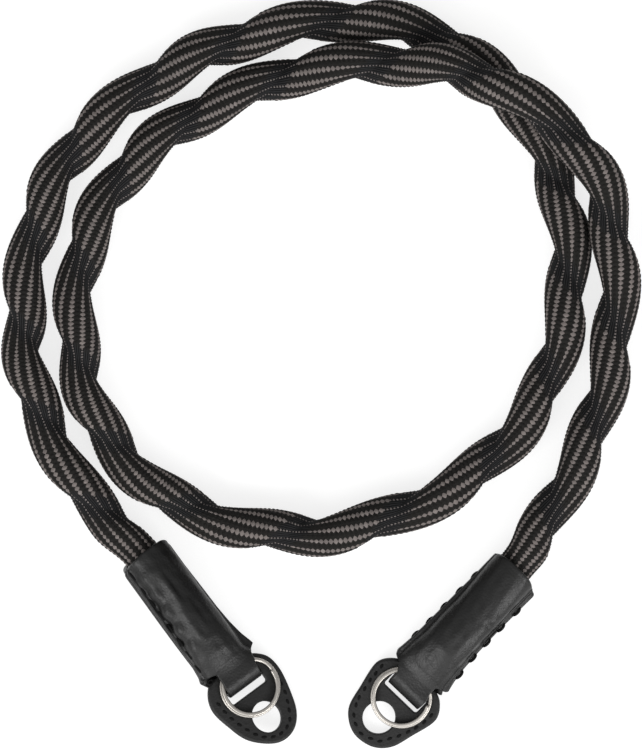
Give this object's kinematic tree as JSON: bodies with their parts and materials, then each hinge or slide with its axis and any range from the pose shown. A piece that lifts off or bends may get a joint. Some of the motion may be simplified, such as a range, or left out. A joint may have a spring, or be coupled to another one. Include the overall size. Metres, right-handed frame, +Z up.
{
  "type": "camera neck strap",
  "caption": "Camera neck strap of thick round woven cord, lying coiled flat, with folded leather sleeves, eyelet tabs and split rings at its ends.",
  "frame": {"origin": "on the surface that the strap lies on, under the middle of its outline", "axes": "+Z up off the surface, +Y from the leather ends towards the far side of the coil, +X to the right with the leather ends nearest"},
  "size_m": [0.1851, 0.2171, 0.0271],
  "materials": {
    "cord": "matte near-black braid with stripes of warm grey lozenges",
    "leather": "satin black, fine grain, black thread",
    "steel": "bright flat wire"
  },
  "bodies": {
    "root": {"cord": "cord", "sleeve_left": "leather", "tab_left": "leather", "ring_left": "steel", "sleeve_right": "leather", "tab_right": "leather", "ring_right": "steel"}
  },
  "joints": []
}
